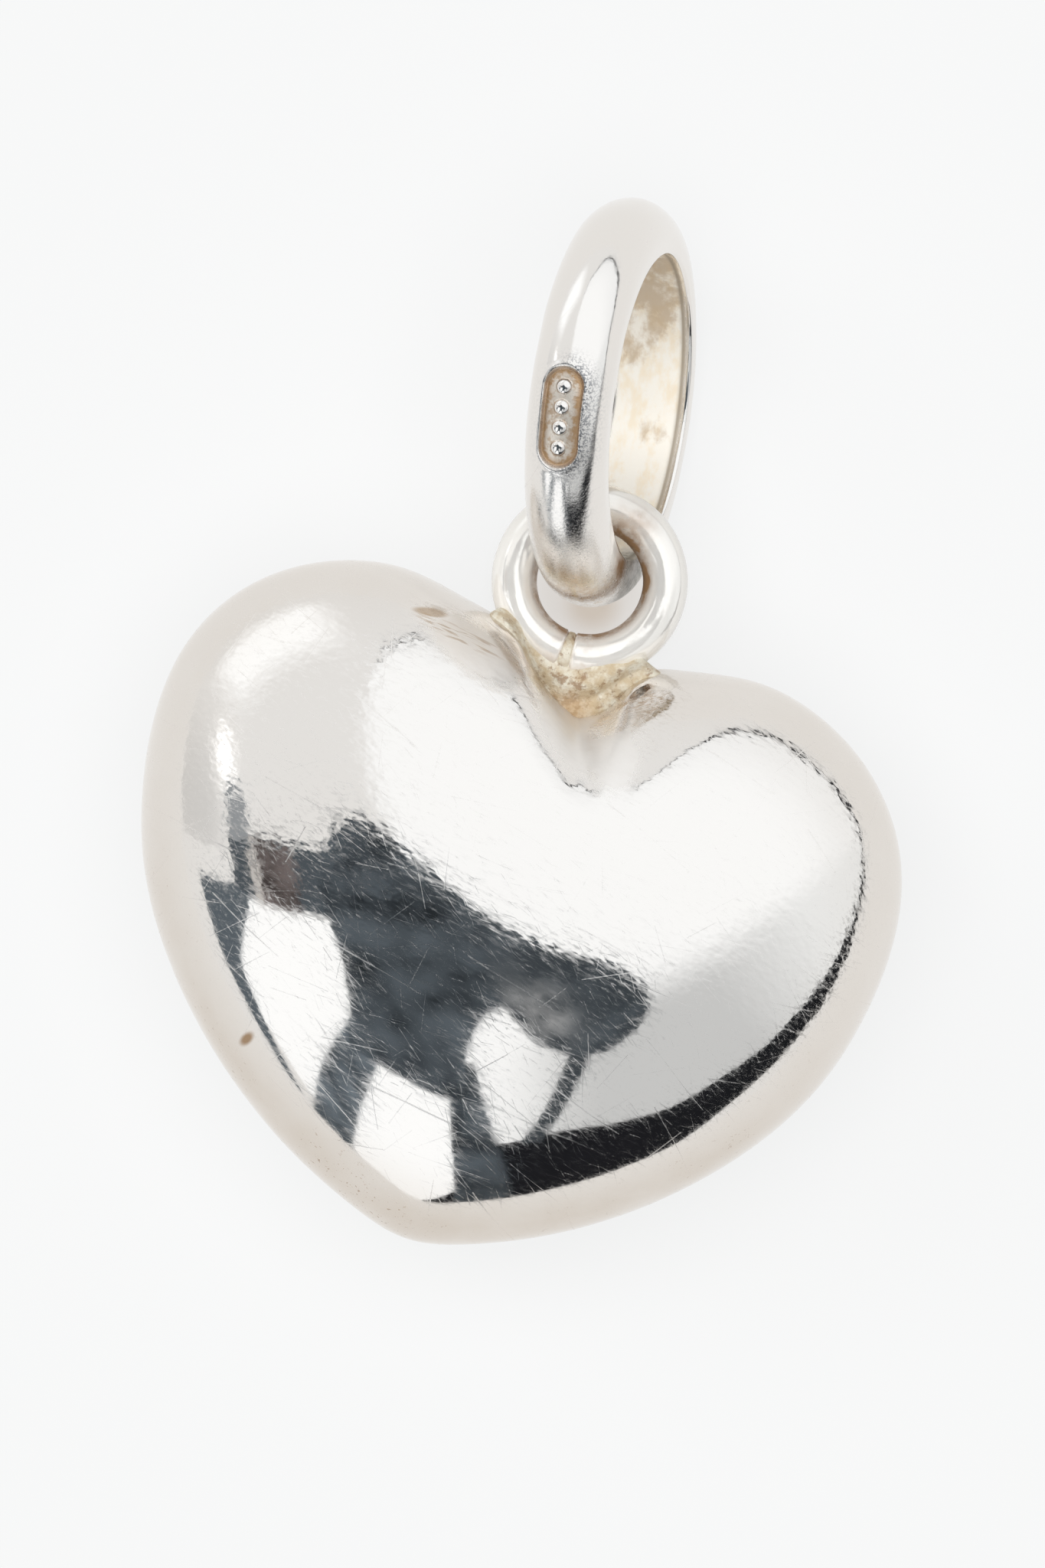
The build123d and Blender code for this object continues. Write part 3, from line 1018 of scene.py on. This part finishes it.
softbox = [
    (-4, -62), (-16, -30), (-19, 0), (-20, 20), (-18, 34), (-14, 44), (-11, 51), (-7, 58), (-1, 65),
    (10, 72), (20, 76), (30, 76), (40, 72.5), (50, 66.5), (60, 57.5), (69, 48.5), (76, 39), (82, 27),
    (84, 14), (83.5, 0), (79.5, -18), (72.3, -26.5), (62, -37), (49, -46.5), (34, -57), (21, -59), (8, -59),
]
softbox_back = [(right * 1.012 + 0.9, up * 1.01 + 1.0) for right, up in softbox[6:20]]
softbox_back += [(10, -40), (-6, 50)]
skirt = [
    (80, 30), (86, 8), (86.5, -9), (82, -30), (73, -43), (63, -55), (53.5, -66), (43.5, -78), (33, -88),
    (17, -94), (0, -98), (-15, -95), (-30, -91), (-42, -86), (-50, -79), (-30, -62), (5, -47), (30, -47),
    (55, -34), (72, -12),
]
sheet = [
    (-72, -4), (-30, -6), (-8, -34), (-5, -70), (-7, -82), (-15, -86), (-28, -86.5), (-42, -83),
    (-54, -72), (-67, -42),
]
slab = [
    (-32, 10), (-26, 19), (-20, 20), (-14, 15), (-8, 8), (0, 0), (8, -4), (6, -20), (-2, -21), (-6, -25),
    (-9, -33), (-9, -46), (-20, -43), (-30, -41), (-37, -39), (-33, -28), (-31, -14), (-33, 0),
]
panel = [
    (-3, -6), (8, -4), (18, -6), (25, -11), (26.5, -18), (23, -26), (17, -32), (10, -33), (3, -29.5),
    (-1, -22), (-3, -14),
]
flag = [
    (-80, -5), (-60, -3.5), (-54, -3), (-59.5, -9), (-65, -16), (-69, -31), (-68, -49), (-63, -63),
    (-67, -58), (-71, -47), (-77, -31), (-80, -12),
]
arc = [math.radians(turn) for turn in (176, 168, 158, 148, 138, 128, 118, 108, 98)]
left_softbox = [(89 * math.cos(turn), 89 * math.sin(turn)) for turn in arc]
left_softbox += [(52 * math.cos(turn), 52 * math.sin(turn)) for turn in arc[::-1]]
add_card("left_softbox", left_softbox, left_softbox_glow)
add_card("dark_skirt", skirt, black)
add_card("white_sheet", sheet, sheet_white)
add_card("softbox_back", softbox_back, black)
add_card("softbox_face", rounded(softbox, 3), softbox_glow)
add_card("left_lamp", rounded(bar((-59.5, 36), (-59.5, 17), 14, 14), 4), lamp_glow)
add_card("left_flag", flag, dark * 2.2)
add_card("boom", bar((-28, 3), (-61, 3), 17, 15), dark * 1.6)
add_card("boom_panel", bar((-45, 10), (-45, -6), 12, 12), mottled(warm_dark, 0.5, 6))
add_card("boom_strip", bar((-51.5, 10), (-52.5, -7), 3, 3), (0.62, 0.61, 0.60))
add_card("boom_end", rounded(bar((-57, 20), (-56, 8), 8, 8), 3), (0.34, 0.37, 0.40))
add_card("stand_left_leg", bar((-30, -33), (-60, -71), 9, 10), mottled(dark * 2.2, 0.6, 3))
add_card("stand_right_leg", bar((-11, -36), (-1, -90), 7, 11), mottled(dark * 1.3, 0.5, 5))
add_card("panel_arm", bar((13, -28), (4, -62), 4, 4), dark)
add_card("stand_slab", rounded(slab, 2), mottled(dark * 1.4, 0.5, 7))
add_card("panel", rounded(panel, 2), panel_glow)

# The light table, in metres and linear colours
floor_half_size = 2.0
table_white = (0.76, 0.765, 0.765)
# Painted shade on the table: a darker grey round the loop and tan below the bail
table_shade = (0.60, 0.57, 0.54)
painted_shade_tan = (0.48, 0.40, 0.32)


def floor_finish(here):
    """A pale light table with painted shade where it shows in the loop's hole, deepest and tan below the
    bail.
    """
    # Painted shade: the table's glow is lowered round the loop and turned tan below the bail
    shaded = here.distance(loop_centre, flat=True).between(0.6, 2.4, 1.0, 0.0)
    painted_shade_below_bail = here.distance((0.1, 14.25, 0.0), flat=True).between(0.2, 0.8, 0.7, 0.0)
    table = shaded.mixed(table_white, table_shade)
    return {
        "Base Color": (0.16, 0.16, 0.16, 1),
        "Emission Color": painted_shade_below_bail.mixed(table, painted_shade_tan),
        "Emission Strength": 1.0,
        "Roughness": 0.9,
        "Specular IOR Level": 0.0,
    }


floor_mesh = bpy.data.meshes.new("floor")
floor_corners = np.array([(-1, -1, 0), (1, -1, 0), (1, 1, 0), (-1, 1, 0)]) * floor_half_size
floor_mesh.from_pydata(floor_corners.tolist(), [], [(0, 1, 2, 3)])
floor_mesh.materials.append(new_material("floor_paint", floor_finish))
floor = new_object("floor", floor_mesh)

world = bpy.data.worlds.new("studio")
bpy.context.scene.world = world
world.use_nodes = True
background = world.node_tree.nodes["Background"]
background.inputs["Color"].default_value = (*sky_colour, 1)
background.inputs["Strength"].default_value = 1.0
world.cycles_visibility.diffuse = False


def add_sun(name, right, up, spread, strength):
    """Soft even light on the floor from one direction. Reflections see the cards and the sky instead."""
    light = bpy.data.lights.new(name, "SUN")
    light.angle = math.radians(spread)
    light.energy = strength
    sun = new_object(name, light)
    away = Vector(sky_place(right, up, 1.0))
    sun.rotation_mode = "QUATERNION"
    sun.rotation_quaternion = (-away).to_track_quat("-Z", "Y")
    sun.visible_glossy = False


add_sun("overhead", 0, 0, 60, 2.95)
add_sun("key", -38, 22, 30, 0.60)

# The camera looks straight down, 193 mm above the rim
camera_place = home + (-0.296, 10.046, 193.0)
camera_data = bpy.data.cameras.new("camera")
camera_data.lens = 206.86
camera_data.sensor_width = 36.0
camera_data.clip_start = 0.005
camera_data.clip_end = 20.0
camera = new_object("camera", camera_data)
camera.location = [float(value) * MM for value in camera_place]
camera.rotation_euler = (0, 0, math.radians(camera_turn))
bpy.context.scene.camera = camera
bpy.context.scene.view_settings.view_transform = "Standard"
